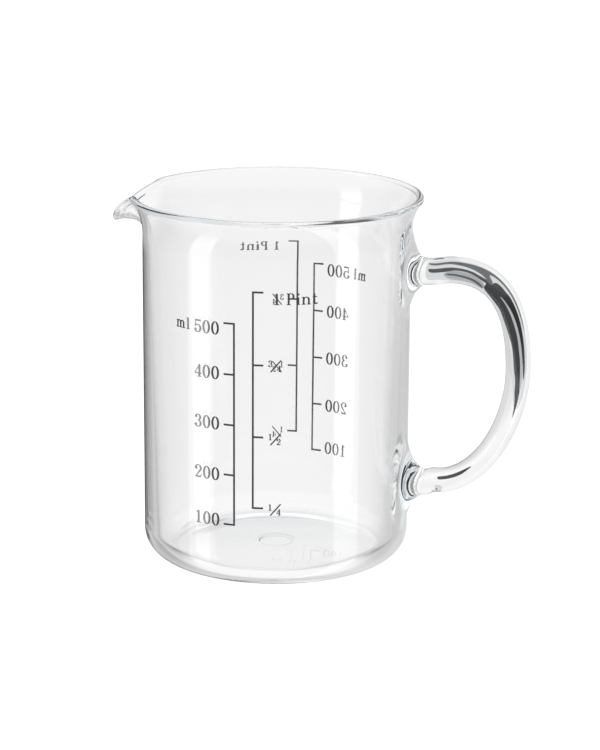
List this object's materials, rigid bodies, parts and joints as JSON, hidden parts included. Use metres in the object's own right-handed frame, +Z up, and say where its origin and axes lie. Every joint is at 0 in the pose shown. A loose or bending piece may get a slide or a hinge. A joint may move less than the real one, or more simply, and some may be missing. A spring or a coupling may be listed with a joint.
{
  "type": "measuring jug",
  "caption": "Clear glass measuring jug with a pulled beak spout, a fused glass loop handle and printed millilitre and pint scales on two sides.",
  "frame": {"origin": "on the vessel's axis, in the plane that the jug stands on", "axes": "+Z up, +X towards the handle, -X towards the spout, -Y towards the scales of the pictured side"},
  "size_m": [0.1468, 0.1004, 0.1273],
  "materials": {
    "clear_glass": "clear, colourless, fire-polished",
    "enamel_print": "dark grey fired enamel, semi-gloss"
  },
  "bodies": {
    "root": {"vessel": "clear_glass", "handle": "clear_glass", "upper_handle_weld": "clear_glass", "lower_handle_weld": "clear_glass", "front_millilitre_scale": "enamel_print", "front_pint_scale": "enamel_print", "rear_millilitre_scale": "enamel_print", "rear_pint_scale": "enamel_print"}
  },
  "joints": []
}
